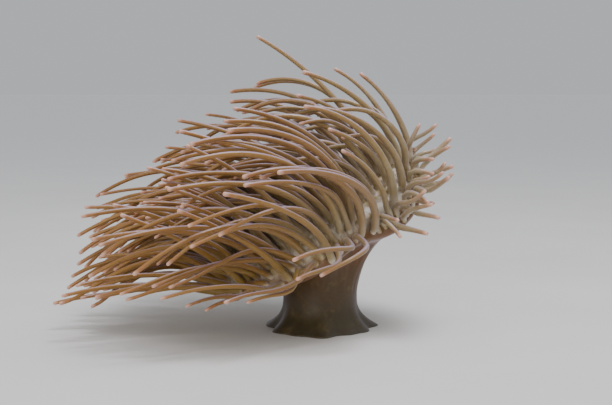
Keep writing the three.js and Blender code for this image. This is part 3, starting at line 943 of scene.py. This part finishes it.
def flesh_marks(finish):
    """What each point of the skin says, its place, how far it faces the light for the painted lilac
    highlight, and its mottling.
    """
    at = {name: finish.mark(name) for name in MARKS}
    at["place"] = finish.add("ShaderNodeTexCoord", {}, "Object")
    facing = {0: finish.add("ShaderNodeNewGeometry", {}, "Normal"), 1: PAINTED_HIGHLIGHT_SIDE}
    at["facing"] = finish.add("ShaderNodeVectorMath", facing, "Value", operation="DOT_PRODUCT")
    at["mottle"] = finish.noise(at["place"], 130, 4)
    at["fine"] = finish.noise(at["place"], 600, 3)
    return at


def tentacle_colour(finish, at):
    """Pale at the base, tan along the length, pinkish at the tip, greyer low down on the right and inner
    ones as painted backlight, and lilac on the upper side as a painted highlight.
    """
    stalk, tip, crest = at["stalk_mm"], at["tip_mm"], at["crest"]
    drift = finish.math("ADD", stalk, finish.span(at["mottle"], 0.3, 0.7, -5, 5))
    drift = finish.math("ADD", drift, finish.span(crest, 0, 1, 13, 0))
    tan = finish.ramp(finish.math("DIVIDE", drift, 100), TENTACLE_TAN)
    deeper = finish.mix(finish.span(at["tone"], 0, 1, 0.0, 0.45), tan, DEEP_TAN)
    # Painted backlight: the tentacles marked pale, on the right and nearer the middle, are greyer low
    # down, where light shines through them; the short ones' grey is their own colour.
    painted_backlight_grey = finish.math("MULTIPLY", crest, finish.span(stalk, 10, 80, 0.25, 0.05))
    greyness = finish.math("MAXIMUM", finish.math("MULTIPLY", at["short"], 0.5), painted_backlight_grey)
    greyer = finish.mix(greyness, deeper, GREY_TAN)
    pinker = finish.mix(finish.span(tip, 1, 12, 0.5, 0), greyer, PINKISH)
    tipped = finish.mix(finish.span(tip, 0.5, 4, 0.75, 0), pinker, TIP_PINK)
    # Painted highlight: lilac on the skin that faces the light, in a wider band on the higher tentacles,
    # where more light falls.
    height = finish.add("ShaderNodeSeparateXYZ", {0: at["place"]}, "Z")
    lit_from = finish.span(height, 0.05, 0.13, 0.66, 0.46)
    lit_to = finish.span(height, 0.05, 0.13, 0.98, 0.92)
    lilac = finish.math("ADD", finish.span(stalk, 2, 18, 0.3, 0.48), finish.math("MULTIPLY", crest, 0.04))
    painted_highlight = finish.math("MULTIPLY", finish.span(at["facing"], lit_from, lit_to), lilac)
    return finish.mix(painted_highlight, tipped, PAINTED_LILAC_HIGHLIGHT)


def disc_colour(finish, at):
    """Tan with pale patches, thin darker lines out from the mouth, and a brown rim."""
    mottle, crest = at["mottle"], at["crest"]
    patch = finish.math("MULTIPLY", finish.span(mottle, 0.4, 0.56), finish.span(crest, 0, 1, 0.7, 1))
    tone = finish.mix(finish.span(mottle, 0.3, 0.7), DISC_DARK, DISC_LIGHT)
    tone = finish.mix(finish.math("MULTIPLY", crest, 0.75), tone, CREST_TAN)
    tone = finish.mix(finish.math("MULTIPLY", patch, 0.75), tone, PALE_PATCH)
    turn = finish.math("ARCTAN2", at["plan_y"], at["plan_x"])
    wander = finish.math("MULTIPLY", mottle, 5)
    wander = finish.math("ADD", finish.math("MULTIPLY", turn, DISC_LINES), wander)
    line = finish.span(finish.math("SINE", wander), 0.55, 1.0, 0, 0.35)
    tone = finish.mix(line, tone, DISC_LINE)
    return finish.mix(finish.span(at["rho"], 0.86, 0.98), tone, RIM_BROWN)


def column_colour(finish, at):
    """Dark brown with streaks that run upward, pale blotches, and rust below the rim."""
    rise, mottle = at["rise"], at["mottle"]
    rust = finish.math("MULTIPLY", finish.span(rise, 0.55, 0.8), finish.span(mottle, 0.4, 0.62, 0, 0.45))
    drawn_up = {0: at["place"], 1: (1, 1, 0.22)}
    streaks = finish.noise(finish.add("ShaderNodeVectorMath", drawn_up, operation="MULTIPLY"), 250, 4)
    column = finish.ramp(rise, COLUMN_BROWN)
    column = finish.mix(finish.span(streaks, 0.35, 0.75, 0, 0.4), column, COLUMN_STREAK)
    column = finish.mix(finish.span(mottle, 0.5, 0.75, 0, 0.35), column, COLUMN_BLOTCH)
    return finish.mix(rust, column, RUST)


def flesh():
    """Moist, slightly see-through flesh with a faint lilac sheen."""
    finish = Finish("anemone_flesh")
    at = flesh_marks(finish)
    rise = at["rise"]
    body = finish.mix(finish.span(rise, 0.93, 1.0), column_colour(finish, at), disc_colour(finish, at))
    base = finish.mix(finish.span(at["stalk_mm"], 0, 5), body, tentacle_colour(finish, at))
    speckled = finish.mix(finish.span(at["fine"], 0.45, 0.75, 0, 0.16), base, SPECKLE)
    bumps = finish.math("MULTIPLY", at["fine"], 0.07)
    bumps = finish.math("ADD", finish.math("MULTIPLY", at["mottle"], 0.93), bumps)
    relief = finish.add("ShaderNodeBump", {"Height": bumps, "Strength": 0.25, "Distance": 0.0006})
    drier = finish.span(rise, 0.6, 1, 0.2, 0)
    rough = finish.math("ADD", finish.span(at["mottle"], 0.25, 0.75, 0.26, 0.4), drier)
    finish.set(Base_Color=speckled, Roughness=rough, Normal=relief)
    finish.set(Subsurface_Weight=0.4, Subsurface_Scale=0.0028, Subsurface_Radius=(0.9, 0.65, 0.4))
    finish.set(Sheen_Weight=0.2, Sheen_Roughness=0.4, Sheen_Tint=LILAC_SHEEN)
    return finish.material


def ground():
    """A pale floor that is even far from the anemone."""
    finish = Finish("pale_floor")
    place = finish.add("ShaderNodeTexCoord", {}, "Object")
    away = finish.add("ShaderNodeVectorMath", {0: place}, "Value", operation="LENGTH")
    near = finish.ramp(finish.noise(place, 6, 4), FLOOR_PALE)
    finish.set(Base_Color=finish.mix(finish.span(away, 0.3, 2.5), near, FLOOR_FAR), Roughness=0.8)
    return finish.material


skin.data.materials.append(flesh())
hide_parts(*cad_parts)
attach(skin, "root")


# ---- floor, light and camera, in metres
FLOOR = 12                       # half its width
LAMPS = [                        # name, place, size, watts and tint
    ("key", (0.15, -0.2, 1.0), 0.3, 6, "#fbf6ff"),
    ("fill", (-0.5, -1.1, 0.36), 0.6, 4.1, "#fff4e4"),
]
LAMPS_AIM = (-0.03, 0, 0.07)
OVERHEAD_STRENGTH = 0.78
OVERHEAD_WIDTH = math.radians(40)
OVERHEAD_TURN = (math.radians(14), math.radians(12), 0)
STUDIO_TINT = "#dfe2e6"
STUDIO_STRENGTH = 0.68
SENSOR_WIDTH = 36
HALF_VIEW = math.radians(14)
CAMERA_PLACE = (-0.0084, -0.725, 0.147)
CAMERA_TURN = (math.radians(90 - 5.7), 0, 0)


def link(thing):
    bpy.context.scene.collection.objects.link(thing)
    return thing


def add_floor():
    mesh = bpy.data.meshes.new("floor")
    corners = [(-FLOOR, -FLOOR, 0), (FLOOR, -FLOOR, 0), (FLOOR, FLOOR, 0), (-FLOOR, FLOOR, 0)]
    mesh.from_pydata(corners, [], [(0, 1, 2, 3)])
    mesh.materials.append(ground())
    link(bpy.data.objects.new("floor", mesh))


def add_lamp(name, place, size, watts, tint):
    light = bpy.data.lights.new(name, "AREA")
    light.size = size
    light.energy = watts
    light.color = colour(tint)[:3]
    lamp = link(bpy.data.objects.new(name, light))
    lamp.location = place
    lamp.rotation_euler = (Vector(LAMPS_AIM) - Vector(place)).to_track_quat("-Z", "Y").to_euler()


def add_overhead():
    sun = bpy.data.lights.new("overhead", "SUN")
    sun.energy = OVERHEAD_STRENGTH
    sun.angle = OVERHEAD_WIDTH
    link(bpy.data.objects.new("overhead", sun)).rotation_euler = OVERHEAD_TURN


def add_studio():
    world = bpy.data.worlds.new("studio")
    world.use_nodes = True
    background = world.node_tree.nodes["Background"]
    background.inputs["Color"].default_value = colour(STUDIO_TINT)
    background.inputs["Strength"].default_value = STUDIO_STRENGTH
    bpy.context.scene.world = world


def add_camera():
    view = bpy.data.cameras.new("camera")
    view.sensor_width = SENSOR_WIDTH
    view.lens = SENSOR_WIDTH / 2 / math.tan(HALF_VIEW)
    view.clip_start = 0.01
    camera = link(bpy.data.objects.new("camera", view))
    camera.location = CAMERA_PLACE
    camera.rotation_euler = CAMERA_TURN
    bpy.context.scene.camera = camera


add_floor()
for lamp in LAMPS:
    add_lamp(*lamp)
add_overhead()
add_studio()
add_camera()
